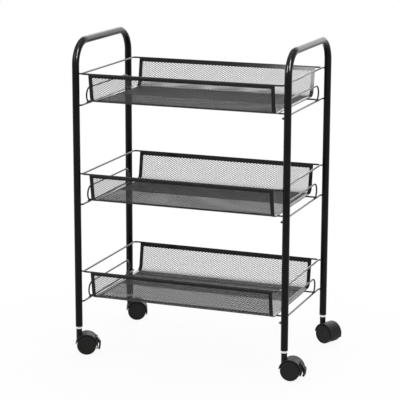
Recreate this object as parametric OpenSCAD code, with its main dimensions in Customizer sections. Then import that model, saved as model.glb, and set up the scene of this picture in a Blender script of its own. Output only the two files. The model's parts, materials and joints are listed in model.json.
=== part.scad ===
// Rolling utility cart: three mesh baskets hang on wire frames between four round posts,
// a tube handle joins each pair of posts, and four twin-wheel casters carry them.
// The two front casters have a brake lever.
// X runs along the cart, Y from its front to its back, and Z up from the floor.

/* [Posts and handles] */
// Distance between the post axes along the cart
post_spacing_x = 426; // [340:1:520]
// Distance between the post axes across the cart
post_spacing_y = 253; // [225:1:320]
// Outer diameter of the posts and handles
tube_d = 14; // [13:0.5:16]
// Wall of the posts and handles
tube_wall = 1.2; // [1:0.1:1.4]
// Length of a post
post_length = 516; // [500:1:600]
// Height of a handle's bar above the ends of its posts, axis to end
handle_rise = 46; // [46:1:70]
// Bend radius of a handle, at the tube's axis
handle_bend_r = 45; // [25:1:45]
// Length of the narrowed end that plugs into a post
spigot_length = 25; // [18:1:40]
// Wall of the narrowed end
spigot_wall = 1.2; // [1:0.1:1.5]

/* [Baskets] */
// Distance from a post's upper end down to the top rim's axis
top_rim_drop = 14; // [10:1:17]
// Distance between one rim and the next
tier_pitch = 195; // [150:1:200]
// Diameter of the rim wire and of the lower side wires
rim_wire_d = 3.5; // [3:0.1:4]
// Corner radius of a rim, at the wire's axis
rim_corner_r = 6; // [5:0.5:12]
// Distance by which a rim's long wires run outside the post axes
rim_overhang = 2; // [0:0.5:4]
// Clear gap between a rim's end wire and the posts
rim_post_gap = 2.45; // [1.5:0.05:4]
// Diameter of the pins that hold a rim to the posts
rim_pin_d = 3; // [2:0.1:3]
// Depth to which wire ends reach into a post
pin_depth = 3.5; // [2.5:0.1:4]
// Distance from a rim's axis down to the lower side wires' axis
side_wire_drop = 61; // [50:1:75]
// Clear gap between a lower side wire and the posts
side_wire_gap = 1.75; // [1.5:0.05:3]
// Diameter of the cross wires and of the end guards
cross_wire_d = 3.2; // [2.6:0.1:3.6]
// Distance between the two cross wires
cross_wire_spacing = 180; // [120:1:184]
// Distance by which a cross wire passes the side wires' axes
cross_wire_tip = 2.5; // [2:0.1:3]
// Depth to which crossing wires sink into each other at a weld
weld_sink = 0.35; // [0.2:0.05:0.5]
// Width of an end guard, at the wire's axis
guard_width = 202; // [196:1:204]
// Height of an end guard above the side wire, axis to axis
guard_rise = 30; // [26:1:31]
// Corner radius of an end guard, at the wire's axis
guard_corner_r = 15; // [15:0.5:20]

/* [Mesh] */
// Thickness of the mesh
mesh_t = 1; // [0.8:0.1:1.4]
// Depth by which each face of the mesh is pressed in where a binding strip grips it
mesh_press = 0.1; // [0.05:0.01:0.15]
// Distance from a rim's end wire to the mesh trough's open end
trough_end_gap = 14.8; // [8:0.1:30]
// Lean of the trough's walls from upright, in degrees
wall_lean = 9; // [4:1:14]
// Radius of the bend between wall and floor, at mid thickness
trough_bend_r = 12; // [9:0.5:16]
// Width of a strand between two openings
strand_w = 2.2; // [1.6:0.1:3]
// Length of an opening's cell along the cart
cell_length = 24; // [18:1:36]
// Width of an opening's cell
cell_width = 14; // [10:1:20]
// Width of the binding strips
strip_w = 7.2; // [6:0.1:9]
// Sheet thickness of the binding strips
strip_sheet_t = 0.3; // [0.3:0.05:0.5]

/* [Casters] */
// Wheel diameter
wheel_d = 38; // [36:0.5:38.5]
// Width of one wheel
wheel_w = 13.4; // [12:0.1:15]
// Thickness of a wheel's closed outer face
wheel_face_t = 2.6; // [2:0.1:3.5]
// Thickness of a wheel's tread ring
tread_t = 3.8; // [3:0.1:5]
// Radius of a wheel's outer edges
tread_edge_r = 1.5; // [0.8:0.1:1.8]
// Outer diameter of a wheel's hub
hub_d = 11; // [9:0.5:14]
// Thickness of the ribs between a wheel's hub and its tread
rib_t = 1.4; // [1:0.1:2]
// Number of those ribs
rib_count = 6; // [3:1:8]
// Horizontal distance from the swivel axis to the axle
trail = 15; // [14:0.5:18]
// Diameter of the axle
axle_d = 5; // [4:0.1:6]
// Length of the axle
axle_length = 28; // [24:1:29]
// Thickness of the hood's middle wall
web_t = 6; // [5:0.1:7]
// Gap between a wheel's tread and the hood
hood_gap = 1.3; // [1:0.1:1.6]
// Wall of the hood's dome
dome_wall = 2; // [1.8:0.1:3]
// Width of the hood's dome
dome_w = 33; // [31:0.5:36]
// Radius of the dome's side edges
dome_edge_r = 1.4; // [0.8:0.1:1.6]
// Outer diameter of the hood's neck
neck_d = 11.5; // [11:0.1:12]
// Height of the neck above the dome's highest point
neck_rise = 8.1; // [7:0.1:12]
// Diameter of the swivel stem
stem_d = 8; // [7:0.1:8]
// Diameter of the stem's collar
collar_d = 12; // [11:0.5:14]
// Height of the stem's collar
collar_h = 4.7; // [3:0.1:6]
// Length of the stem above its collar
stem_length = 31; // [25:1:36]
// Thickness of the socket's flange
flange_t = 1.6; // [1:0.1:2.5]
// Thickness of the socket's closed upper end
socket_cap_t = 2; // [1.5:0.1:4]

/* [Brake levers] */
// Width of a brake lever
lever_w = 12; // [9:0.5:13]
// Thickness of a brake lever's tab
lever_t = 3.5; // [3:0.1:4]
// Gap between the dome and the tab
lever_gap = 1.7; // [1.5:0.1:2.5]
// Diameter of the lever's barrel
barrel_d = 5.2; // [4.6:0.1:5.4]
// Diameter of the lever's trunnions
trunnion_d = 2.1; // [1.8:0.1:2.4]
// Thickness of the lugs that hold the trunnions
lug_t = 2.2; // [1.8:0.1:3]
// Gap on each side of a lever
lever_side_gap = 0.6; // [0.4:0.1:0.8]

/* [Rest positions] */
// Turn of the front left caster from straight along the cart, in degrees
front_left_turn = 22; // [-90:1:90]
// Turn of the front right caster, in degrees
front_right_turn = 3; // [-90:1:90]
// Turn of the rear left caster, in degrees
rear_left_turn = 23; // [-90:1:90]
// Turn of the rear right caster, in degrees
rear_right_turn = -24; // [-90:1:90]

/* [Fits] */
// Radial play of a shaft that turns in a bore
running_fit = 0.05; // [0.02:0.01:0.1]
// Radial play of the axle in the hood
axle_fit = 0.01; // [0.01:0.01:0.05]
// Radial play of a plug or sleeve inside a tube
plug_play = 0.05; // [0.03:0.01:0.2]
// Radial play of a wire end in a post's hole
pin_play = 0.12; // [0.11:0.01:0.3]
// Gap between pieces that rest on each other
seat_gap = 0.02; // [0.01:0.01:0.05]
// Gap between a caster's turning pieces
turning_gap = 0.3; // [0.3:0.05:0.5]
// Gap between a wheel and the hood's middle wall
wheel_side_gap = 0.6; // [0.4:0.1:0.8]

/* [Hidden] */
TIERS = ["top", "middle", "bottom"];
CORNERS = ["front_left", "front_right", "rear_left", "rear_right"];
CORNER_SIGNS = [[-1, -1], [1, -1], [-1, 1], [1, 1]];
ENDS = ["left", "right"];
FACES = ["front", "rear"];
SIDE_SIGN = [-1, 1];
BRAKED = [0, 1];

black_paint = "#1b1b1c";
black_wire = "#232323";
black_mesh = "#2c2c2d";
black_strip = "#1a1817";
hood_plastic = "#3a3c3f";
wheel_plastic = "#2b2b2c";
socket_plastic = "#141414";
bright_zinc = "#e6e6e8";

overlap = 0.5;      // length by which a piece of one solid runs into the next
wire_fn = 32;
tube_fn = 64;
wheel_fn = 96;
chamfer = 0.5;

tube_r = tube_d / 2;
tube_bore_r = tube_r - tube_wall;
post_x = post_spacing_x / 2;
post_y = post_spacing_y / 2;

// Caster heights, from the floor up
wheel_r = wheel_d / 2;
well_r = wheel_r + hood_gap;
dome_r = well_r + dome_wall;
neck_top_z = wheel_r + dome_r + neck_rise;
neck_ledge = 1;     // height of the neck's lower end above the line where its far side meets the dome
neck_foot_z = wheel_r + sqrt(pow(dome_r, 2) - pow(trail + neck_d / 2, 2)) + neck_ledge;
collar_z = neck_top_z + turning_gap;
flange_z = collar_z + collar_h;
post_foot_z = flange_z + flange_t;
post_top_z = post_foot_z + post_length;
stem_bore_r = stem_d / 2 + running_fit;
stem_floor_t = 1.2;
stem_bore_z = wheel_r + sqrt(pow(well_r, 2) - pow(trail - stem_bore_r, 2)) + stem_floor_t;
sleeve_r = tube_bore_r - plug_play;
dome_start = -20;
dome_end = 172;
wheel_inner_y = web_t / 2 + wheel_side_gap;
axle_boss_r = axle_d / 2 + 3;
hub_bore_depth = axle_length / 2 - wheel_inner_y + turning_gap;
hub_bore_r = axle_d / 2 + running_fit;
rib_recess = 2;     // distance from a wheel's inner side to its ribs

// Brake lever, around the axle in the plane of the wheels
tab_in_r = dome_r + lever_gap;
tab_out_r = tab_in_r + lever_t;
tab_start = -20;
tab_end = 8;
pivot_angle = 34;
pivot_r = dome_r + turning_gap;
slot_half_w = lever_w / 2 + lever_side_gap;
slot_in_r = wheel_r + 0.6;
slot_start = -40;
slot_end = pivot_angle + asin((barrel_d / 2 + lever_side_gap) / pivot_r) + 1;
trunnion_y = slot_half_w + lug_t - 0.2;
arm_t = 3.4;
// The tab's round ends stand out from its faces by half of this
lip_swell = 0.5;
lip_d = lever_t + lip_swell;

// Baskets, from a rim's axis
rim_x = post_x - tube_r - rim_post_gap - rim_wire_d / 2;
rim_y = post_y + rim_overhang;
pin_tip_x = post_x - tube_r + pin_depth;
rim_pin_root_x = rim_x - rim_corner_r + sqrt(pow(rim_corner_r, 2) - pow(rim_corner_r - rim_overhang, 2));
side_x = post_x - tube_r - side_wire_gap - rim_wire_d / 2;
side_z = -side_wire_drop;
side_bend_r = side_wire_gap + rim_wire_d / 2 - 0.1;
cross_z = side_z + (rim_wire_d + cross_wire_d) / 2 - weld_sink;
cross_y = cross_wire_spacing / 2;
guard_z = side_z + guard_rise;
guard_y = guard_width / 2 - guard_corner_r;
guard_foot = asin((guard_rise - guard_corner_r - rim_wire_d / 2 + weld_sink) / guard_corner_r);

pressed_t = mesh_t - 2 * mesh_press;
slot_t = pressed_t + 2 * seat_gap;
strip_t = slot_t + 2 * strip_sheet_t;
trough_x = rim_x - trough_end_gap;
mesh_x = trough_x - strip_sheet_t - seat_gap;
wall_top_y = rim_y - (rim_wire_d / 2 + strip_t / 2 + seat_gap) / cos(wall_lean);
floor_z = cross_z + cross_wire_d / 2 + seat_gap + strip_t / 2;
bend_z = floor_z + trough_bend_r;
wall_length = (trough_bend_r * sin(wall_lean) - bend_z) / cos(wall_lean);
bend_y = wall_top_y - wall_length * sin(wall_lean) - trough_bend_r * cos(wall_lean);
bend_sweep = 90 - wall_lean;
bend_steps = 18;
land = 1.5;         // solid mesh beside a strip or a bend
press_margin = 0.3; // pressed mesh that a strip leaves bare
full_x = trough_x - strip_w - press_margin;
window_x = trough_x - strip_w - land;
columns = round(2 * window_x / cell_length);
cell_x = 2 * window_x / columns;

function rim_z(tier) = post_top_z - top_rim_drop - tier * tier_pitch;

// The frame stands with the middle of its bounding box over the origin
turns = [front_left_turn, front_right_turn, rear_left_turn, rear_right_turn];
function braked(c) = len([for (b = BRAKED) if (b == c) b]) > 0;
function post_at(c) = [CORNER_SIGNS[c][0] * post_x, CORNER_SIGNS[c][1] * post_y];
function axle_at(c) = post_at(c) + trail * [cos(turns[c]), sin(turns[c])];
function dome_reach(c, dir) = axle_at(c) * [cos(dir), sin(dir)]
    + dome_r * abs(cos(turns[c] - dir)) + dome_w / 2 * abs(sin(turns[c] - dir));
function lever_reach(c, dir) = axle_at(c) * [cos(dir), sin(dir)]
    + tab_out_r * cos(turns[c] - dir) + lever_w / 2 * abs(sin(turns[c] - dir));
function reach(dir) = max([for (c = [0 : 3]) max(dome_reach(c, dir), braked(c) ? lever_reach(c, dir) : 0)]);
centre_x = (reach(0) - reach(180)) / 2;
centre_y = (reach(90) - reach(270)) / 2;

module about_centre() {
    translate([-centre_x, -centre_y, 0]) children();
}

// ---- Plain shapes ----

// Straight wire along X, centred
module wire_x(d, length) {
    rotate([0, 90, 0]) cylinder(d = d, h = length, center = true, $fn = wire_fn);
}

// Straight wire along Y, centred
module wire_y(d, length) {
    rotate([90, 0, 0]) cylinder(d = d, h = length, center = true, $fn = wire_fn);
}

// Bent wire in the XY plane, turning about the origin
module wire_bend(d, r, start, sweep) {
    rotate_extrude(angle = sweep, start = start, $fn = wheel_fn)
        translate([r, 0]) circle(d = d, $fn = wire_fn);
}

// Turns what lies in the XY plane into the YZ plane: X becomes Y, and Y becomes Z
module in_yz() {
    rotate([90, 0, 90]) children();
}

// Bar's section for a revolve, from radius r0 to r1 and y0 to y1, with round outer corners
module rounded_bar(r0, r1, y0, y1, corner) {
    translate([r0, y0]) square([r1 - corner - r0, y1 - y0]);
    translate([r0, y0 + corner]) square([r1 - r0, y1 - y0 - 2 * corner]);
    for (y = [y0 + corner, y1 - corner]) {
        translate([r1 - corner, y]) circle(r = corner, $fn = wire_fn);
    }
}

// ---- Posts and handles ----

module post(c) {
    inward = -CORNER_SIGNS[c][0];
    color(black_paint)
    about_centre()
    translate([post_at(c)[0], post_at(c)[1], 0])
    difference() {
        translate([0, 0, post_foot_z]) cylinder(r = tube_r, h = post_length, $fn = tube_fn);
        translate([0, 0, post_foot_z - overlap])
            cylinder(r = tube_bore_r, h = post_length + 2 * overlap, $fn = tube_fn);
        for (tier = [0 : len(TIERS) - 1]) {
            translate([0, 0, rim_z(tier)]) rotate([0, 90 * inward, 0])
                cylinder(d = rim_pin_d + 2 * pin_play, h = tube_r + overlap, $fn = wire_fn);
            translate([0, 0, rim_z(tier) + side_z]) rotate([0, 90 * inward, 0])
                cylinder(d = rim_wire_d + 2 * pin_play, h = tube_r + overlap, $fn = wire_fn);
        }
    }
}

// Section of a handle's narrowed end, from the axis out: the neck, then the plug below it
module spigot_section() {
    spigot_r = tube_bore_r - plug_play;
    straight = handle_rise - handle_bend_r;
    polygon([
        [spigot_r - spigot_wall, -spigot_length],
        [spigot_r - chamfer, -spigot_length],
        [spigot_r, -spigot_length + chamfer],
        [spigot_r, 0],
        [tube_r, 0],
        [tube_r, straight],
        [tube_bore_r, straight],
        [spigot_r - spigot_wall, 0]
    ]);
}

module handle(e) {
    bar_z = post_top_z + handle_rise;
    bend_at = post_y - handle_bend_r;
    color(black_paint)
    about_centre()
    translate([SIDE_SIGN[e] * post_x, 0, 0])
    union() {
        translate([0, 0, bar_z]) rotate([90, 0, 0])
        difference() {
            cylinder(r = tube_r, h = 2 * bend_at, center = true, $fn = tube_fn);
            cylinder(r = tube_bore_r, h = 2 * bend_at + 1, center = true, $fn = tube_fn);
        }
        for (side = [0, 180]) {
            rotate([0, 0, side]) translate([0, bend_at, bar_z - handle_bend_r]) in_yz()
                rotate_extrude(angle = 90, $fn = wheel_fn) translate([handle_bend_r, 0])
                difference() {
                    circle(r = tube_r, $fn = tube_fn);
                    circle(r = tube_bore_r, $fn = tube_fn);
                }
            rotate([0, 0, side]) translate([0, post_y, post_top_z]) difference() {
                rotate_extrude($fn = tube_fn) spigot_section();
                translate([0, 0, -top_rim_drop]) rotate([0, side == 0 ? -90 * SIDE_SIGN[e] : 90 * SIDE_SIGN[e], 0])
                    cylinder(d = rim_pin_d + 2 * pin_play, h = tube_r, $fn = wire_fn);
            }
        }
    }
}

// ---- Basket wires ----

module rim(tier) {
    straight_x = rim_x - rim_corner_r;
    straight_y = rim_y - rim_corner_r;
    pin_length = pin_tip_x - rim_pin_root_x + overlap;
    color(black_wire)
    about_centre()
    translate([0, 0, rim_z(tier)])
    union() {
        for (side = [-1, 1]) {
            translate([0, side * rim_y, 0]) wire_x(rim_wire_d, 2 * straight_x);
            translate([side * rim_x, 0, 0]) wire_y(rim_wire_d, 2 * straight_y);
            for (face = [-1, 1]) {
                translate([side * (pin_tip_x - pin_length / 2), face * post_y, 0]) wire_x(rim_pin_d, pin_length);
            }
        }
        for (turn = [0 : 3]) {
            sx = turn == 0 || turn == 3 ? 1 : -1;
            sy = turn < 2 ? 1 : -1;
            translate([sx * straight_x, sy * straight_y, 0]) wire_bend(rim_wire_d, rim_corner_r, 90 * turn, 90);
        }
    }
}

// One lower side wire with its ends bent outward into the posts, on the +X side
module side_wire() {
    straight = post_y - side_bend_r;
    end_x = side_x + side_bend_r;
    wire_at_x = (pin_tip_x + end_x) / 2;
    translate([side_x, 0, 0]) wire_y(rim_wire_d, 2 * straight);
    translate([end_x, straight, 0]) wire_bend(rim_wire_d, side_bend_r, 90, 90);
    translate([end_x, -straight, 0]) wire_bend(rim_wire_d, side_bend_r, 180, 90);
    for (face = [-1, 1]) {
        translate([wire_at_x, face * post_y, 0]) wire_x(rim_wire_d, pin_tip_x - end_x);
    }
}

// One end guard, a low arch that stands on the side wire, on the +X side
module end_guard() {
    translate([side_x, 0, guard_z]) wire_y(cross_wire_d, 2 * guard_y);
    for (side = [0, 180]) {
        translate([side_x, 0, guard_z - guard_corner_r])
        rotate([0, 0, side]) translate([0, guard_y, 0]) in_yz()
            wire_bend(cross_wire_d, guard_corner_r, -guard_foot, 90 + guard_foot);
    }
}

module lower_frame(tier) {
    color(black_wire)
    about_centre()
    translate([0, 0, rim_z(tier)])
    union() {
        for (side = [0, 180]) {
            rotate([0, 0, side]) translate([0, 0, side_z]) side_wire();
            rotate([0, 0, side]) end_guard();
        }
        for (face = [-1, 1]) {
            translate([0, face * cross_y, cross_z]) wire_x(cross_wire_d, 2 * (side_x + cross_wire_tip));
        }
    }
}

// ---- Mesh trough ----

// Corners of one opening at lattice point (i, j) of an nx by ny field, cut off at the field's edges
function opening(a, b, i, j, nx, ny) =
    let (at_corner = (i == 0 || i == nx) && (j == 0 || j == ny))
    concat(
        at_corner ? [[0, 0]] : [],
        i < nx ? [[a, 0]] : [],
        j < ny ? [[0, b]] : [],
        i > 0 ? [[-a, 0]] : [],
        j > 0 ? [[0, -b]] : []
    );

// Diamond openings that fill a field of nx by ny cells from the origin
module openings(nx, ny, px, py) {
    lean = atan2(py, px);
    a = px / 2 - strand_w / 2 / sin(lean);
    b = py / 2 - strand_w / 2 / cos(lean);
    for (i = [0 : nx - 1], j = [0 : ny - 1]) {
        translate([(i + 0.5) * px, (j + 0.5) * py]) polygon([[a, 0], [0, b], [-a, 0], [0, -b]]);
    }
    for (i = [0 : nx], j = [0 : ny]) {
        translate([i * px, j * py]) polygon(opening(a, b, i, j, nx, ny));
    }
}

// Flat mesh at its full thickness, from y = low to y = high, with openings from lo_w to hi_w
module flat_mesh(low, high, lo_w, hi_w) {
    rows = max(1, round((hi_w - lo_w) / cell_width));
    linear_extrude(mesh_t, center = true)
    difference() {
        translate([-full_x, low]) square([2 * full_x, high - low]);
        translate([-window_x, lo_w]) openings(columns, rows, cell_x, (hi_w - lo_w) / rows);
    }
}

// Pressed edges of a flat mesh from y = low to y = high, outside what is at its full thickness up to y = full
module pressed_edge(low, high, full) {
    linear_extrude(pressed_t, center = true)
    difference() {
        translate([-mesh_x, low]) square([2 * mesh_x, high - low]);
        translate([-full_x + overlap, low - overlap]) square([2 * (full_x - overlap), full - low + overlap]);
    }
}

// Frame of one long wall: Y points out of the basket and Z up the wall from its upper edge
module at_wall(f) {
    rotate([0, 0, SIDE_SIGN[f] > 0 ? 0 : 180]) translate([0, wall_top_y, 0]) rotate([-wall_lean, 0, 0]) children();
}

// Frame of the bend below a wall, in the wall's own frame: Z runs along the bend's axis,
// X points out of the basket and Y up the wall
module at_bend() {
    translate([0, -trough_bend_r, -wall_length]) in_yz() children();
}

// One row of openings through a bend
module bend_openings() {
    chord = 2 * trough_bend_r * sin(bend_sweep / 2) - strand_w;
    half_length = cell_x / 2 - strand_w;
    rotate([0, 0, -bend_sweep / 2])
    for (i = [0 : columns - 1]) {
        translate([0, 0, (i + 0.5) * cell_x - window_x]) rotate([0, 90, 0])
        linear_extrude(trough_bend_r + mesh_t)
            polygon([[half_length, 0], [0, chord / 2], [-half_length, 0], [0, -chord / 2]]);
    }
}

// Mesh of one long wall, with the bend that joins it to the floor
module wall_mesh(tier, f) {
    color(black_mesh)
    about_centre()
    translate([0, 0, rim_z(tier)]) at_wall(f)
    union() {
        rotate([90, 0, 0]) {
            flat_mesh(-wall_length, -strip_w - press_margin, land - wall_length, -strip_w - land);
            pressed_edge(-wall_length, -strip_sheet_t - seat_gap, -strip_w - press_margin - overlap);
        }
        at_bend() difference() {
            rotate_extrude(angle = bend_sweep, start = -bend_sweep, $fn = wheel_fn) {
                translate([trough_bend_r - mesh_t / 2, -full_x]) square([mesh_t, 2 * full_x]);
                translate([trough_bend_r - pressed_t / 2, -mesh_x]) square([pressed_t, 2 * mesh_x]);
            }
            bend_openings();
        }
    }
}

module floor_mesh(tier) {
    color(black_mesh)
    about_centre()
    translate([0, 0, rim_z(tier) + floor_z])
    union() {
        flat_mesh(-bend_y, bend_y, land - bend_y, bend_y - land);
        pressed_edge(-bend_y, bend_y, bend_y + overlap);
    }
}

// Strip folded over a wall's upper edge
module top_strip(tier, f) {
    color(black_strip)
    about_centre()
    translate([0, 0, rim_z(tier)]) at_wall(f)
    difference() {
        translate([-trough_x, -strip_t / 2, -strip_w]) cube([2 * trough_x, strip_t, strip_w]);
        translate([-trough_x - overlap, -slot_t / 2, -strip_w - overlap])
            cube([2 * (trough_x + overlap), slot_t, strip_w + overlap - strip_sheet_t]);
    }
}

// Half of the trough's outline, [y, z] points at `out` outside mid thickness, from `down` below
// the wall's upper edge round the bend to the floor
function half_outline(out, down) = concat(
    [[wall_top_y - down * sin(wall_lean) + out * cos(wall_lean), -down * cos(wall_lean) - out * sin(wall_lean)]],
    [for (step = [0 : bend_steps])
        let (angle = -wall_lean - bend_sweep * step / bend_steps)
        [bend_y + (trough_bend_r + out) * cos(angle), bend_z + (trough_bend_r + out) * sin(angle)]]
);
function backward(points) = [for (k = [len(points) - 1 : -1 : 0]) points[k]];
function across(points) = [for (p = points) [-p[0], p[1]]];

// Trough's section t thick and `length` long, from `down` below the walls' upper edges
module trough_band(t, down, length) {
    outside = half_outline(t / 2, down);
    inside = half_outline(-t / 2, down);
    in_yz() linear_extrude(length)
        polygon(concat(outside, backward(across(outside)), across(inside), backward(inside)));
}

// Strip folded over the trough's open end
module end_strip(tier, e) {
    down = strip_w + seat_gap;
    color(black_strip)
    about_centre()
    translate([0, 0, rim_z(tier)]) rotate([0, 0, SIDE_SIGN[e] > 0 ? 0 : 180])
    difference() {
        translate([trough_x - strip_w, 0, 0]) trough_band(strip_t, down, strip_w);
        translate([trough_x - strip_w - overlap, 0, 0])
            trough_band(slot_t, down - overlap, strip_w + overlap - strip_sheet_t);
    }
}

// ---- Casters ----

// Frame of one caster: the swivel axis is Z, and X points from it to the axle
module at_caster(c) {
    about_centre() translate([post_at(c)[0], post_at(c)[1], 0]) rotate([0, 0, turns[c]]) children();
}

// Frame of one axle: Z is the axle, X points away from the swivel axis and Y up
module at_axle(c) {
    at_caster(c) translate([trail, 0, wheel_r]) rotate([90, 0, 0]) children();
}

// Plastic socket in a post's lower end
module socket(c) {
    top_z = flange_z + stem_length + socket_cap_t + chamfer;
    color(socket_plastic)
    at_caster(c)
    rotate_extrude($fn = tube_fn)
    polygon([
        [stem_bore_r, flange_z],
        [tube_r, flange_z],
        [tube_r, post_foot_z],
        [sleeve_r, post_foot_z],
        [sleeve_r, top_z - chamfer],
        [sleeve_r - chamfer, top_z],
        [0, top_z],
        [0, top_z - socket_cap_t],
        [stem_bore_r, top_z - socket_cap_t]
    ]);
}

// Steel stem: its upper end is held in the socket, and the hood turns on its lower end
module stem(c) {
    stem_r = stem_d / 2;
    foot_z = stem_bore_z + turning_gap;
    top_z = flange_z + stem_length;
    groove_z = top_z - 4;
    groove_h = 1.2;
    groove_r = stem_r - 0.6;
    color(bright_zinc)
    at_caster(c)
    rotate_extrude($fn = tube_fn)
    polygon([
        [0, foot_z],
        [stem_r - chamfer, foot_z],
        [stem_r, foot_z + chamfer],
        [stem_r, collar_z],
        [collar_d / 2 - chamfer, collar_z],
        [collar_d / 2, collar_z + chamfer],
        [collar_d / 2, flange_z],
        [stem_r, flange_z],
        [stem_r, groove_z - groove_h],
        [groove_r, groove_z - groove_h],
        [groove_r, groove_z],
        [stem_r, groove_z],
        [stem_r, top_z - chamfer],
        [stem_r - chamfer, top_z],
        [0, top_z]
    ]);
}

// Lugs beside the slot, around the lever's pivot, in the axle's frame
module lever_lugs() {
    for (side = [-1, 1]) {
        rotate([0, 0, pivot_angle]) translate([pivot_r, 0, side * (slot_half_w + lug_t / 2 - overlap / 2)])
            cylinder(d = barrel_d, h = lug_t + overlap, center = true, $fn = wire_fn);
    }
}

// Slot through the dome for the lever, in the axle's frame
module lever_slot() {
    rotate_extrude(angle = slot_end - slot_start, start = slot_start, $fn = wheel_fn)
        translate([slot_in_r, -slot_half_w]) square([dome_r + barrel_d - slot_in_r, 2 * slot_half_w]);
}

module hood(c) {
    color(hood_plastic)
    difference() {
        union() {
            difference() {
                union() {
                    at_axle(c) rotate_extrude(angle = dome_end - dome_start, start = dome_start, $fn = wheel_fn)
                        rounded_bar(1, dome_r, -dome_w / 2, dome_w / 2, dome_edge_r);
                    at_axle(c) cylinder(r = axle_boss_r, h = web_t, center = true, $fn = tube_fn);
                    at_caster(c) translate([0, 0, neck_foot_z])
                        cylinder(d = neck_d, h = neck_top_z - neck_foot_z, $fn = tube_fn);
                }
                for (side = [-1, 1]) {
                    at_axle(c) translate([0, 0, side * (web_t / 2 + dome_w / 2)])
                        cylinder(r = well_r, h = dome_w, center = true, $fn = wheel_fn);
                }
            }
            if (braked(c)) at_axle(c) lever_lugs();
        }
        if (braked(c)) at_axle(c) lever_slot();
        at_axle(c) cylinder(r = axle_d / 2 + axle_fit, h = web_t + 2, center = true, $fn = tube_fn);
        at_caster(c) translate([0, 0, stem_bore_z]) cylinder(r = stem_bore_r, h = neck_top_z, $fn = tube_fn);
        if (braked(c)) at_axle(c) rotate([0, 0, pivot_angle]) translate([pivot_r, 0, 0])
            cylinder(r = trunnion_d / 2 + running_fit, h = dome_w, center = true, $fn = wire_fn);
    }
}

module axle(c) {
    color(bright_zinc)
    at_axle(c) cylinder(d = axle_d, h = axle_length, center = true, $fn = tube_fn);
}

// One wheel of a pair; side is 1 or -1 along the axle's frame
module wheel(c, side) {
    outer_y = wheel_inner_y + wheel_w;
    face_y = outer_y - 0.6;
    face_back_y = face_y - wheel_face_t;
    rib_y = wheel_inner_y + rib_recess;
    rib_r0 = hub_d / 2 - overlap;
    rib_r1 = wheel_r - tread_t + overlap;
    color(wheel_plastic)
    at_axle(c) rotate([side > 0 ? 0 : 180, 0, 0])
    union() {
        rotate_extrude($fn = wheel_fn)
        difference() {
            union() {
                rounded_bar(wheel_r - tread_t, wheel_r, wheel_inner_y, outer_y, tread_edge_r);
                translate([0, face_back_y]) square([wheel_r - tread_t + overlap, wheel_face_t]);
                translate([0, wheel_inner_y]) square([hub_d / 2, face_back_y - wheel_inner_y + overlap]);
            }
            translate([0, wheel_inner_y - 1]) square([hub_bore_r, hub_bore_depth + 1]);
        }
        for (k = [0 : rib_count - 1]) {
            rotate([0, 0, (k + 0.5) * 360 / rib_count]) translate([rib_r0, -rib_t / 2, rib_y])
                cube([rib_r1 - rib_r0, rib_t, face_back_y + overlap - rib_y]);
        }
    }
}

// Side view of a brake lever, about its axle: a curved tab with round ends, an arm and the barrel it tips about
module lever_outline() {
    tab_mid_r = (tab_in_r + tab_out_r) / 2;
    reach = 2 * tab_out_r;
    pivot = pivot_r * [cos(pivot_angle), sin(pivot_angle)];
    tab_top = tab_mid_r * [cos(tab_end), sin(tab_end)];
    arm = tab_top - pivot;
    intersection() {
        difference() {
            circle(r = tab_out_r, $fn = wheel_fn);
            circle(r = tab_in_r, $fn = wheel_fn);
        }
        polygon([[0, 0], reach * [cos(tab_start), sin(tab_start)], reach * [cos(tab_end), sin(tab_end)]]);
    }
    rotate(tab_start) translate([tab_mid_r, 0]) circle(d = lip_d, $fn = wire_fn);
    translate(tab_top) circle(d = lip_d, $fn = wire_fn);
    translate(pivot) rotate(atan2(arm[1], arm[0])) translate([norm(arm) / 2, 0])
        square([norm(arm), arm_t], center = true);
    translate(pivot) circle(d = barrel_d, $fn = wire_fn);
}

module brake_lever(c) {
    color(hood_plastic)
    at_axle(c)
    union() {
        linear_extrude(height = lever_w, center = true) union() lever_outline();
        rotate([0, 0, pivot_angle]) translate([pivot_r, 0, 0])
            cylinder(d = trunnion_d, h = 2 * trunnion_y, center = true, $fn = wire_fn);
    }
}

// ---- Nodes ----

for (e = [0, 1]) {
    handle(e);
}

for (c = [0 : 3]) {
    post(c);
    socket(c);
    stem(c);
    hood(c);
    axle(c);
    wheel(c, 1);
    wheel(c, -1);
}

for (c = BRAKED) {
    brake_lever(c);
}

for (t = [0 : 2]) {
    rim(t);
    lower_frame(t);
    floor_mesh(t);
    for (f = [0, 1]) {
        wall_mesh(t, f);
        top_strip(t, f);
    }
    for (e = [0, 1]) {
        end_strip(t, e);
    }
}
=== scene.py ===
import json
import math

import bmesh
import bpy
import numpy as np
from mathutils import Matrix, Vector


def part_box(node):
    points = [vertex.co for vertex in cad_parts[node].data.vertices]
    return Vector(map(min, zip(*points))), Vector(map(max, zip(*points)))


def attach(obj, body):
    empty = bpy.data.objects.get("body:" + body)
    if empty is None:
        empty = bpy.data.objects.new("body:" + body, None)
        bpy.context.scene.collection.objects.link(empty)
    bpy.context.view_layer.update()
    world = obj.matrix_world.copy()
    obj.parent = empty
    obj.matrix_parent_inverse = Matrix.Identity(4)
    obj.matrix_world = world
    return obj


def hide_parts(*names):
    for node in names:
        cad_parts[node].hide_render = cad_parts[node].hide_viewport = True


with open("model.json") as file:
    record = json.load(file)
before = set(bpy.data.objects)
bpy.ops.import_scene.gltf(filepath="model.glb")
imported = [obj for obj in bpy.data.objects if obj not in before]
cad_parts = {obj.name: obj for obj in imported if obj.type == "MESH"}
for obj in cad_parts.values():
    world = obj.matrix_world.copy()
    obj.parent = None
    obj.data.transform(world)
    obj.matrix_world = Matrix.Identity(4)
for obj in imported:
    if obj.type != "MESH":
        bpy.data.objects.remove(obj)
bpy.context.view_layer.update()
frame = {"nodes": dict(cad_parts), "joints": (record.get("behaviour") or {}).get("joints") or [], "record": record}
nodes = frame["nodes"]
record = frame["record"]
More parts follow.
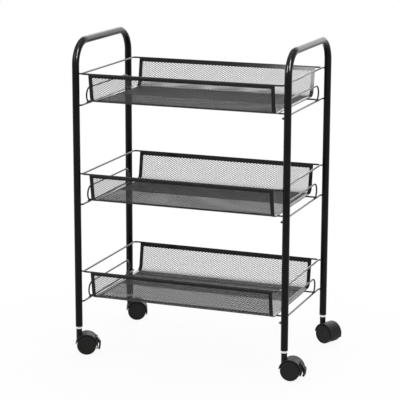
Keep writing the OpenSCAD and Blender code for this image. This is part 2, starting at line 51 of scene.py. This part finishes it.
print("cart loaded:", len(nodes), "pieces")

scene = bpy.context.scene
tiers = ("top", "middle", "bottom")


class Value:
    # one output socket, so that shader maths reads as plain sums
    def __init__(self, finish, socket):
        self.finish = finish
        self.socket = socket

    def maths(self, operation, *others):
        return self.finish.node("ShaderNodeMath", {"operation": operation}, dict(enumerate(others)))

    def __add__(self, other):
        return self.maths("ADD", self, other)

    def __radd__(self, other):
        return self.maths("ADD", other, self)

    def __sub__(self, other):
        return self.maths("SUBTRACT", self, other)

    def __rsub__(self, other):
        return self.maths("SUBTRACT", other, self)

    def __mul__(self, other):
        return self.maths("MULTIPLY", self, other)

    def __rmul__(self, other):
        return self.maths("MULTIPLY", other, self)

    def __pow__(self, other):
        return self.maths("POWER", self, other)

    def sine(self):
        return self.maths("SINE", self)

    def atLeast(self, low):
        return self.maths("MAXIMUM", self, low)

    def clamped(self):
        return self.finish.node("ShaderNodeClamp", {}, {"Value": self})

    def swing(self, spread):
        # noise that averages 0.5, turned into one that swings evenly about 0
        return (self - 0.5) * spread

    def ramp(self, low, high):
        # 0 below low, 1 above high, and smooth between them
        return self.finish.node("ShaderNodeMapRange", {"interpolation_type": "SMOOTHSTEP"},
                                {"Value": self, "From Min": low, "From Max": high})


ramps = {
    # where each starts and where it is full, for every finish
    "shade": (0.3, 0.7),
    "upward": (0.35, 0.95),
}


class Finish:
    # one material or world, and the nodes that make it
    def __init__(self, name, tree=None):
        if tree is None:
            self.material = bpy.data.materials.new(name)
            self.material.use_nodes = True
            tree = self.material.node_tree
        self.tree = tree
        self.tree.nodes.clear()

    def node(self, kind, settings=None, inputs=None, output=0):
        made = self.tree.nodes.new(kind)
        for key, value in (settings or {}).items():
            setattr(made, key, value)
        for key, value in (inputs or {}).items():
            if isinstance(value, Value):
                self.tree.links.new(value.socket, made.inputs[key])
            else:
                made.inputs[key].default_value = value
        return Value(self, made.outputs[output]) if len(made.outputs) else None

    def own(self):
        # the cart's own coordinates in metres
        return self.node("ShaderNodeTexCoord", output="Object")

    def place(self, stretch=(1, 1, 1), offset=(0, 0, 0)):
        return self.node("ShaderNodeMapping", {}, {
            "Vector": self.own(), "Location": offset, "Scale": stretch})

    def noise(self, scale, detail=2.0, stretch=(1, 1, 1), offset=(0, 0, 0), roughness=0.5):
        return self.node("ShaderNodeTexNoise", {"noise_dimensions": "3D"}, {
            "Vector": self.place(stretch, offset), "Scale": scale, "Detail": detail, "Roughness": roughness})

    def cells(self, scale):
        return self.node("ShaderNodeTexVoronoi", {"feature": "F1"}, {"Vector": self.place(), "Scale": scale})

    def blend(self, amount, first, second):
        # mix of two colours
        return self.node("ShaderNodeMix", {"data_type": "RGBA"}, {
            0: amount, 6: colourOf(first), 7: colourOf(second)}, 2)

    def shade(self, cloud, look):
        # drifts between the finish's dark and its light colour
        return self.blend(cloud.ramp(*ramps["shade"]), look["dark"], look["light"])

    def upward(self):
        # 1 on faces that look up, 0 on the rest
        facing = self.node("ShaderNodeNewGeometry", output="Normal")
        return self.node("ShaderNodeSeparateXYZ", {}, {0: facing}, 2).ramp(*ramps["upward"])

    def surface(self, colour, roughness, height, bump, depth, fixed):
        normal = self.node("ShaderNodeBump", {}, {"Strength": bump, "Distance": depth, "Height": height})
        inputs = {"Base Color": colour, "Roughness": roughness, "Normal": normal, **fixed}
        shader = self.node("ShaderNodeBsdfPrincipled", {}, inputs)
        self.node("ShaderNodeOutputMaterial", {}, {"Surface": shader})
        return self.material


def colourOf(value):
    return value if isinstance(value, Value) else (*value, 1)


coat = {
    # where each mark starts and is full, in the noise that it is read from
    "speckEdge": (0.03, 0.10), "dustGrit": (0.45, 0.75), "wornCloud": (0.60, 0.74), "wornGrit": (0.35, 0.6),
    # what the marks add to the roughness, and the grit to the height
    "dustRough": 0.5, "wornRough": 0.4, "gritRough": 0.05, "gritHeight": 0.35,
    "gritOffset": (3, 1, 7),
}


def paintFinish(name, look):
    # stoved gloss black: faint orange peel, uneven gloss, a few specks, a little dust on what faces up
    f = Finish(name)
    cloud = f.noise(look["cloudScale"], detail=3.0)
    peel = f.noise(look["peelScale"], detail=1.0)
    grit = f.noise(look["gritScale"], offset=coat["gritOffset"])
    speck = 1 - f.cells(look["speckScale"]).ramp(*coat["speckEdge"])
    dust = f.upward() * grit.ramp(*coat["dustGrit"]) * look["dust"]
    worn = cloud.ramp(*coat["wornCloud"]) * grit.ramp(*coat["wornGrit"]) * look["worn"]
    pale = (dust + worn + speck * look["speck"]).clamped()
    colour = f.blend(pale, f.shade(cloud, look), look["dustColour"])
    roughness = look["rough"] + cloud.swing(look["roughSpread"]) + grit.swing(coat["gritRough"])
    roughness = roughness + dust * coat["dustRough"] + worn * coat["wornRough"]
    height = peel + grit * coat["gritHeight"]
    return f.surface(colour, roughness, height, look["peel"], look["peelDepth"],
                     {"Specular IOR Level": look["specular"]})


paint = {
    # the two colours it drifts between, then noise scales per metre, and how strong each mark is
    "black_tube": {
        "dark": (0.0032, 0.0027, 0.0023), "light": (0.0056, 0.0046, 0.0038),
        "dustColour": (0.10, 0.095, 0.09), "cloudScale": 26.0, "peelScale": 820.0, "gritScale": 2100.0,
        "speckScale": 330.0, "speck": 0.04, "dust": 0.06, "worn": 0.02, "rough": 0.19, "roughSpread": 0.06,
        "peel": 0.03, "peelDepth": 0.00010, "specular": 0.12,
    },
    "black_wire": {
        "dark": (0.0070, 0.0062, 0.0056), "light": (0.0120, 0.0108, 0.0098),
        "dustColour": (0.11, 0.105, 0.10), "cloudScale": 40.0, "peelScale": 1100.0, "gritScale": 2600.0,
        "speckScale": 420.0, "speck": 0.04, "dust": 0.08, "worn": 0.04, "rough": 0.26, "roughSpread": 0.10,
        "peel": 0.15, "peelDepth": 0.00010, "specular": 0.40,
    },
    "black_mesh": {
        "dark": (0.0080, 0.0074, 0.0070), "light": (0.0165, 0.0155, 0.0148),
        "dustColour": (0.12, 0.115, 0.11), "cloudScale": 18.0, "peelScale": 1500.0, "gritScale": 3200.0,
        "speckScale": 500.0, "speck": 0.03, "dust": 0.08, "worn": 0.04, "rough": 0.40, "roughSpread": 0.14,
        "peel": 0.20, "peelDepth": 0.00008, "specular": 0.28,
    },
    "black_strip": {
        "dark": (0.0052, 0.0042, 0.0034), "light": (0.0098, 0.0080, 0.0066),
        "dustColour": (0.10, 0.095, 0.09), "cloudScale": 30.0, "peelScale": 950.0, "gritScale": 2400.0,
        "speckScale": 380.0, "speck": 0.04, "dust": 0.08, "worn": 0.04, "rough": 0.13, "roughSpread": 0.07,
        "peel": 0.06, "peelDepth": 0.00010, "specular": 0.20,
    },
}


moulding = {
    # where the marks start and are full, in the noise that they are read from
    "rubbedStreaks": (0.56, 0.72), "dustCloud": (0.35, 0.8),
    # how much smoother a rubbed place is, and how much rougher a dusty one
    "rubbedSmooth": 0.2, "dustRough": 0.2,
    "cloudOffset": (5, 2, 1), "streakStretch": (1, 1, 0.15), "streakRoughness": 0.65,
}


def plasticFinish(name, look):
    # moulded nylon with a spark-eroded grain, paler where it has been rubbed
    f = Finish(name)
    grain = f.noise(look["grainScale"])
    cloud = f.noise(look["cloudScale"], detail=3.0, offset=moulding["cloudOffset"])
    streaks = f.noise(look["streakScale"], detail=4.0, stretch=moulding["streakStretch"],
                      roughness=moulding["streakRoughness"])
    rubbed = streaks.ramp(*moulding["rubbedStreaks"]) * look["rubbed"]
    dust = f.upward() * cloud.ramp(*moulding["dustCloud"]) * look["dust"]
    colour = f.blend((rubbed + dust).clamped(), f.shade(cloud, look), look["rubbedColour"])
    roughness = look["rough"] + cloud.swing(look["roughSpread"])
    roughness = roughness - rubbed * moulding["rubbedSmooth"] + dust * moulding["dustRough"]
    return f.surface(colour, roughness, grain, look["grain"], look["grainDepth"],
                     {"Specular IOR Level": look["specular"]})


plastic = {
    "hood_plastic": {
        "dark": (0.0090, 0.0092, 0.0100), "light": (0.0140, 0.0144, 0.0156),
        "rubbedColour": (0.060, 0.062, 0.066), "grainScale": 2600.0, "cloudScale": 60.0,
        "streakScale": 190.0, "rubbed": 0.08, "dust": 0.04, "rough": 0.50, "roughSpread": 0.10,
        "grain": 0.24, "grainDepth": 0.00006, "specular": 0.16,
    },
    "socket_plastic": {
        "dark": (0.010, 0.010, 0.010), "light": (0.015, 0.015, 0.015),
        "rubbedColour": (0.05, 0.05, 0.05), "grainScale": 2600.0, "cloudScale": 80.0,
        "streakScale": 240.0, "rubbed": 0.20, "dust": 0.05, "rough": 0.42, "roughSpread": 0.10,
        "grain": 0.20, "grainDepth": 0.00006, "specular": 0.40,
    },
}


def wheelFinish(name, look, centre, axis):
    # the tread carries floor dust, the closed face keeps faint turning rings from its mould
    f = Finish(name)
    out = f.node("ShaderNodeVectorMath", {"operation": "SUBTRACT"}, {0: f.own(), 1: centre})
    along = f.node("ShaderNodeVectorMath", {"operation": "DOT_PRODUCT"}, {0: out, 1: axis}, "Value")
    length = f.node("ShaderNodeVectorMath", {"operation": "LENGTH"}, {0: out}, "Value")
    radius = (length * length - along * along).atLeast(0.0) ** 0.5
    rings = (radius * (2 * math.pi / look["ringPitch"])).sine()
    grain = f.noise(look["grainScale"])
    cloud = f.noise(look["cloudScale"], detail=3.0, offset=look["cloudOffset"])
    scuff = f.noise(look["scuffScale"], detail=4.0, roughness=look["scuffRoughness"])
    tread = radius.ramp(look["treadFrom"], look["treadTo"])
    patches = look["wornLeast"] + scuff.ramp(*look["wornScuff"]) * (1 - look["wornLeast"])
    worn = tread * patches * look["worn"]
    colour = f.blend(worn.clamped(), f.shade(cloud, look), look["wornColour"])
    roughness = look["rough"] + cloud.swing(look["roughSpread"]) + worn * look["wornRough"]
    height = grain + rings * look["rings"] + scuff * tread * look["scuffHeight"]
    return f.surface(colour, roughness, height, look["grain"], look["grainDepth"],
                     {"Specular IOR Level": look["specular"]})


wheelLook = {
    "dark": (0.0068, 0.0060, 0.0054), "light": (0.0105, 0.0094, 0.0086), "wornColour": (0.070, 0.065, 0.060),
    "rough": 0.42, "roughSpread": 0.10, "grain": 0.22, "grainDepth": 0.00007, "specular": 0.22,
    "grainScale": 2300.0, "cloudScale": 70.0, "cloudOffset": (2, 9, 4),
    "scuffScale": 420.0, "scuffRoughness": 0.7, "scuffHeight": 1.5,
    "ringPitch": 0.0009, "rings": 0.25,             # mould rings: their spacing in metres and their height
    "treadFrom": 0.0172, "treadTo": 0.0188,         # radii between which the tread starts
    "worn": 0.26, "wornLeast": 0.35, "wornScuff": (0.4, 0.7), "wornRough": 0.35,
}


def platedFinish(name, look):
    # bright zinc, finely brushed round the collar
    f = Finish(name)
    brush = f.noise(look["brushScale"], detail=3.0, stretch=look["brushStretch"])
    cloud = f.noise(look["cloudScale"])
    roughness = look["rough"] + brush.swing(look["roughSpread"])
    return f.surface(f.shade(cloud, look), roughness, brush, look["brush"], look["brushDepth"],
                     {"Metallic": 1.0})


zincLook = {
    "dark": (0.60, 0.61, 0.63), "light": (0.78, 0.79, 0.80), "cloudScale": 200.0,
    "rough": 0.24, "roughSpread": 0.16,
    "brush": 0.15, "brushDepth": 0.00003, "brushScale": 900.0, "brushStretch": (0.2, 0.2, 3.0),
}

finishes = {slot: paintFinish(slot, look) for slot, look in paint.items()}
finishes.update({slot: plasticFinish(slot, look) for slot, look in plastic.items()})
finishes["bright_zinc"] = platedFinish("bright_zinc", zincLook)

slotOf = {part["node"]: part["material_slot"] for part in record["subparts"]}
rolls = {joint["child"]: joint for joint in frame["joints"] if joint["name"].endswith("_roll")}


def dress(piece, material):
    piece.data.materials.clear()
    piece.data.materials.append(material)


for name, piece in nodes.items():
    slot = slotOf[name]
    if slot == "wheel_plastic":
        # each wheel's rings run round its own axle
        centre = [float(part) for part in rolls[name]["pos_m"]]
        axis = list(Vector(rolls[name]["axis"]).normalized())
        finishes[name] = wheelFinish(name + "_nylon", wheelLook, centre, axis)
        dress(piece, finishes[name])
    else:
        dress(piece, finishes[slot])
print("finishes made:", len(finishes))


uvMargin = 0.01         # bare edge round the flat places


def meshPiece(name, points, faces, places=None, smooth=True):
    # places are the points' flat places, which a bake uses as they are
    mesh = bpy.data.meshes.new(name)
    mesh.vertices.add(len(points))
    mesh.vertices.foreach_set("co", np.asarray(points, np.float32).ravel())
    mesh.loops.add(faces.size)
    mesh.loops.foreach_set("vertex_index", faces.astype(np.int32).ravel())
    mesh.polygons.add(len(faces))
    mesh.polygons.foreach_set("loop_start", np.arange(0, faces.size, faces.shape[1], dtype=np.int32))
    mesh.polygons.foreach_set("use_smooth", np.full(len(faces), smooth))
    if places is not None:
        spread = places - places.min(0)
        spread = uvMargin + (1 - 2 * uvMargin) * spread / spread.max(0)
        layer = mesh.uv_layers.new(name="OFBake")
        layer.uv.foreach_set("vector", spread[faces.ravel()].astype(np.float32).ravel())
    mesh.update(calc_edges=True)
    mesh.validate()
    piece = bpy.data.objects.new(name, mesh)
    scene.collection.objects.link(piece)
    return piece


# the expanded sheet of a basket: a row of slits pulled open into diamonds
trough = {
    "pitchX": 0.0069,       # from one opening to the next along the cart
    "pitchS": 0.0041,       # and across it, round the trough's section
    "strandX": 0.00071,     # half of a strand's width, measured along X
    "strandS": 0.00042,     # and along the section
    "sheet": 0.00045,       # thickness of a strand
    "twist": 0.00014,       # how far a strand's edges stand out of the sheet
    "bendRadius": 0.012,    # of the bends between the floor and the walls
    "lean": math.radians(9),            # of the walls, outward
    "endGap": 0.0004,       # bare edge of the sheet inside the binding strips
    "edgeShare": 0.3,       # share of an opening that a strand's edge takes in the flat places
}


def troughOutline(tier):
    # the section's sizes, taken from the CAD pieces that it stands for
    floorLow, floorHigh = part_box(tier + "_floor_mesh")
    lean, radius = trough["lean"], trough["bendRadius"]
    middle = (floorLow + floorHigh) / 2
    flat = (floorHigh.y - floorLow.y) / 2
    bendTop = middle.z + radius * (1 - math.sin(lean))
    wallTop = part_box(tier + "_front_mesh")[1].z - trough["sheet"] / 2
    return {
        "centre": middle, "flat": flat, "halfLength": (floorHigh.x - floorLow.x) / 2,
        "arc": radius * (math.pi / 2 - lean), "wall": (wallTop - bendTop) / math.cos(lean),
    }


def alongOutline(outline, s):
    # points (y, z) of the section at arc lengths s from its middle, and the normals there, up and inward
    lean, radius = trough["lean"], trough["bendRadius"]
    side, far = np.sign(s), np.abs(s)
    turn = np.clip((far - outline["flat"]) / radius, 0, math.pi / 2 - lean)
    up = np.clip(far - outline["flat"] - outline["arc"], 0, None)
    y = np.minimum(far, outline["flat"]) + radius * np.sin(turn) + up * math.sin(lean)
    z = radius * (1 - np.cos(turn)) + up * math.cos(lean)
    points = np.stack([side * y, z], -1) + (outline["centre"].y, outline["centre"].z)
    normals = np.stack([-side * np.sin(turn), np.cos(turn)], -1)
    return points, normals


def expandedSheet(outline):
    # points, faces and flat places of a whole sheet, and the row of diamonds that each face belongs to
    halfX, halfS = trough["pitchX"] / 2, trough["pitchS"] / 2
    openX, openS = halfX - trough["strandX"], halfS - trough["strandS"]
    columns = int((outline["halfLength"] - trough["endGap"] - openX) / halfX)
    reach = outline["flat"] + outline["arc"] + outline["wall"] - trough["endGap"]
    rows = int((reach - openS) / halfS)
    i, j = np.meshgrid(np.arange(-columns, columns + 1), np.arange(-rows, rows + 1), indexing="ij")
    knot = (i + j) % 2 == 1
    number = np.full(i.shape, -1)
    number[knot] = np.arange(knot.sum())
    i, j = i[knot], j[knot]
    # corners of a knot, which are the tips of the four openings round it: left, right, far, near
    tips = np.array([[-halfX + openX, 0], [halfX - openX, 0], [0, halfS - openS], [0, -halfS + openS]])
    lift = np.array([0, 0, 1, -1]) * trough["twist"]
    away = np.array([[-1, 0], [1, 0], [0, 1], [0, -1]]) * trough["edgeShare"]
    layers, places = [], []
    for level in (1, -1):
        u = (i * halfX)[:, None] + tips[:, 0]
        s = (j * halfS)[:, None] + tips[:, 1]
        points, normals = alongOutline(outline, s)
        height = level * trough["sheet"] / 2 + lift * np.where(s > 0, 1, -1)
        x = (u + outline["centre"].x)[..., None]
        layers.append(np.concatenate([x, points + normals * height[..., None]], -1).reshape(-1, 3))
        shift = away * (level < 0)
        places.append(np.stack([u + shift[:, 0] * openX, s + shift[:, 1] * openS], -1).reshape(-1, 2))
    under = 4 * len(i)
    left, right, far, near = range(4)
    every = np.arange(len(i))

    def corner(knots, which, below=False):
        return knots * 4 + which + (under if below else 0)

    faces = [
        [corner(every, k) for k in (left, near, right, far)],
        [corner(every, k, True) for k in (left, far, right, near)],
    ]
    owners = [j, j]
    for step in (1, -1):
        a, b = i + columns, j + rows
        inside = (a + 1 < number.shape[0]) & (b + step >= 0) & (b + step < number.shape[1])
        start, end = every[inside], number[a[inside] + 1, b[inside] + step]
        row = np.minimum(j[start], j[end])
        # a strand joins two knots: the corners of its start, then those of its end
        if step == 1:
            ring = ((start, far), (start, right), (end, near), (end, left))
        else:
            ring = ((start, right), (start, near), (end, left), (end, far))
        faces.append([corner(*c) for c in ring])
        faces.append([corner(*c, True) for c in reversed(ring)])
        for begin, finish in ((ring[1], ring[2]), (ring[3], ring[0])):
            faces.append([corner(*finish), corner(*begin), corner(*begin, True), corner(*finish, True)])
        owners += [row] * 4
        # knots at the edge of the sheet have no strand here, so their side is closed
        for knots, k0, k1 in (
            (every[~inside], ring[0][1], ring[1][1]),
            (np.setdiff1d(every, end), ring[2][1], ring[3][1]),
        ):
            faces.append([corner(knots, k1), corner(knots, k0),
                          corner(knots, k0, True), corner(knots, k1, True)])
            owners.append(j[knots])
    faces = np.concatenate([np.stack(face, -1) for face in faces])
    return np.concatenate(layers), faces, np.concatenate(places), np.concatenate(owners)


for tier in tiers:
    points, faces, places, owners = expandedSheet(troughOutline(tier))
    # the sheet is kept in two pieces, cut along the middle of the floor
    for face, mine in (("front", owners < 0), ("rear", owners >= 0)):
        used, corners = np.unique(faces[mine], return_inverse=True)
        piece = meshPiece(tier + "_" + face + "_lattice", points[used], corners.reshape(-1, 4), places[used])
        dress(piece, finishes["black_mesh"])
        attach(piece, "frame")
        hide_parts(tier + "_" + face + "_mesh", tier + "_floor_mesh")
        print(piece.name, len(piece.data.polygons), "faces")


welds = {
    "rimPlaces": (-0.168, 0.0, 0.168),      # along the rim, where a strip is spotted to it
    "wireRadius": 0.00175,
    "sideDrop": 0.061,          # from a rim's axis down to the side wires' axes
    "sideGap": 0.00175,         # between a side wire and the posts
    "crossSpacing": 0.18,
    "guardWidth": 0.202,
    "guardInset": 0.0035,       # from a guard's edge to the middle of its bead
    # half-sizes of the beads along x, y and z
    "rimBead": (0.0034, 0.0010, 0.0010),
    "crossBead": (0.0026, 0.0024, 0.0012),
    # where a bead's middle is from its wire's axis, in wire radii
    "rimInset": 0.85, "rimBelow": 0.75, "crossAbove": 0.9,
    "ripple": 0.16,             # depth of the ripples in a bead's skin, as a share of its size
    "waves": (7, 6, 2),         # ripples along x, y and z
    "change": (30, 40),         # how they differ from bead to bead, along the cart and across it
}


def weldPlaces(tier):
    # centre and half-sizes of each bead of one basket
    low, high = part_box(tier + "_rim")
    middle = (low + high) / 2
    radius = welds["wireRadius"]
    rimY = (high.y - low.y) / 2 - radius
    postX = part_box("post_front_left")[1].x
    sideX = middle.x - postX - welds["sideGap"] - radius
    crossZ = middle.z - welds["sideDrop"] + radius * welds["crossAbove"]
    for sy in (-1, 1):
        for x in welds["rimPlaces"]:
            drop = Vector((x, sy * (rimY - radius * welds["rimInset"]), -radius * welds["rimBelow"]))
            yield middle + drop, welds["rimBead"]
        for sx in (-1, 1):
            for y in (welds["crossSpacing"] / 2, welds["guardWidth"] / 2 - welds["guardInset"]):
                yield Vector((middle.x + sx * sideX, middle.y + sy * y, crossZ)), welds["crossBead"]


def makeWelds(tier):
    # flattened drops of metal with a rippled skin
    ball = bmesh.new()
    wavesX, wavesY, wavesZ = welds["waves"]
    changeX, changeY = welds["change"]
    for place, size in weldPlaces(tier):
        made = bmesh.ops.create_icosphere(ball, subdivisions=3, radius=1.0)
        for vertex in made["verts"]:
            x, y, z = vertex.co
            first = math.sin(wavesX * x + changeY * place.y)
            second = math.sin(wavesY * y + changeX * place.x + wavesZ * z)
            swell = 1 + welds["ripple"] * first * second
            vertex.co = place + Vector((x * size[0], y * size[1], z * size[2])) * swell
    mesh = bpy.data.meshes.new(tier + "_welds")
    ball.to_mesh(mesh)
    ball.free()
    for polygon in mesh.polygons:
        polygon.use_smooth = True
    piece = bpy.data.objects.new(tier + "_welds", mesh)
    scene.collection.objects.link(piece)
    dress(piece, finishes["black_wire"])
    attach(piece, "frame")
    return piece


for tier in tiers:
    print(makeWelds(tier).name, "made")


studio = {
    "floorSize": 14.0,
    "floorColour": (0.88, 0.88, 0.88),
    "floorPatches": 3.0,    # scale of the patches on it
    "patchLight": 1.02,     # how much lighter they are
    "paleNear": 0.93,       # how far the floor near the cart goes to white
    "nearRadius": 0.30,     # where the floor starts to turn wholly white
    "farRadius": 0.9,       # and where it is
    "ambient": 0.60,        # strength of the world's light
}

lamps = {
    # name: place, target, width, height, watts
    "overhead": ((0.1, -0.2, 2.4), (0, 0, 0.3), 2.2, 1.8, 20.0),
    "backPanel": ((0.0, 3.2, 1.55), (0, 0, 0.6), 3.4, 2.9, 68.0),
}

# lamps that only make a bright line or a sheen, each on its own pieces
handles = ("handle_left", "handle_right")
topStrips = ("top_rear_strip", "top_right_strip")
highlights = {
    # name: pieces that show it, place, target, width, height, watts
    "rightLine": (handles, (1.25, -1.15, 1.90), (0, -0.1, 0.6), 0.45, 1.5, 240.0),
    "leftLine": (handles, (-1.32, -2.25, 1.90), (0, -0.1, 0.6), 0.50, 1.3, 190.0),
    "stripSheen": (topStrips, (-0.22, -2.04, 0.80), (-0.22, 0.11, 0.80), 0.68, 0.45, 28.0),
}


def whiteToTheEye(f):
    # 1 for what the camera, a reflection or a clear piece sees, 0 for light that falls on the cart
    rays = [f.node("ShaderNodeLightPath", output=kind)
            for kind in ("Is Camera Ray", "Is Glossy Ray", "Is Transmission Ray")]
    return (rays[0] + rays[1] + rays[2]).clamped()


def makeFloor():
    half = studio["floorSize"] / 2
    points = np.array([(-half, -half, 0), (half, -half, 0), (half, half, 0), (-half, half, 0)])
    floor = meshPiece("studio_floor", points, np.array([[0, 1, 2, 3]]), smooth=False)
    f = Finish("studioFloor")
    away = f.node("ShaderNodeVectorMath", {"operation": "LENGTH"}, {0: f.own()}, "Value")
    far = away.ramp(studio["nearRadius"], studio["farRadius"])
    patch = [part * studio["patchLight"] for part in studio["floorColour"]]
    colour = f.blend(f.noise(studio["floorPatches"]), studio["floorColour"], patch)
    white = whiteToTheEye(f) * (studio["paleNear"] + (1 - studio["paleNear"]) * far)
    matt = f.node("ShaderNodeBsdfDiffuse", {}, {"Color": colour})
    glow = f.node("ShaderNodeEmission", {}, {"Color": (1, 1, 1, 1), "Strength": 1.0})
    mixed = f.node("ShaderNodeMixShader", {}, {0: white, 1: matt, 2: glow})
    f.node("ShaderNodeOutputMaterial", {}, {"Surface": mixed})
    dress(floor, f.material)


def makeWorld():
    world = bpy.data.worlds.new("studio")
    world.use_nodes = True
    scene.world = world
    f = Finish("studio", world.node_tree)
    strength = studio["ambient"] + (1 - studio["ambient"]) * whiteToTheEye(f)
    glow = f.node("ShaderNodeBackground", {}, {"Color": (1, 1, 1, 1), "Strength": strength})
    f.node("ShaderNodeOutputWorld", {}, {"Surface": glow})


def aim(thing, place, target):
    thing.location = place
    thing.rotation_euler = (Vector(target) - Vector(place)).to_track_quat("-Z", "Y").to_euler()


def makeLamp(name, place, target, width, height, watts):
    light = bpy.data.lights.new(name, "AREA")
    light.shape = "RECTANGLE"
    light.size, light.size_y = width, height
    light.energy = watts
    lamp = bpy.data.objects.new(name, light)
    lamp.visible_camera = False
    scene.collection.objects.link(lamp)
    aim(lamp, place, target)
    return lamp


def makeLamps():
    for name, look in lamps.items():
        makeLamp(name, *look)
    for name, (shownBy, *look) in highlights.items():
        lamp = makeLamp(name, *look)
        lamp.visible_diffuse = False
        lamp.light_linking.receiver_collection = bpy.data.collections.new(name)
        for part in shownBy:
            lamp.light_linking.receiver_collection.objects.link(nodes[part])


makeFloor()
makeWorld()
makeLamps()

view = {
    "place": (1.09521, -2.93816, 1.0090),
    "turn": math.radians(20.84),
    "tilt": math.radians(12.72),
    "roll": math.radians(0.17),
    "lens": 146.8,
    "sensor": 36.0,
}

camera = bpy.data.cameras.new("camera")
camera.lens = view["lens"]
camera.sensor_width = view["sensor"]
eye = bpy.data.objects.new("camera", camera)
eye.matrix_world = (
    Matrix.Translation(view["place"])
    @ Matrix.Rotation(view["turn"], 4, "Z")
    @ Matrix.Rotation(math.pi / 2 - view["tilt"], 4, "X")
    @ Matrix.Rotation(view["roll"], 4, "Z")
)
scene.collection.objects.link(eye)
scene.camera = eye
scene.view_settings.view_transform = "Standard"
print("studio ready")
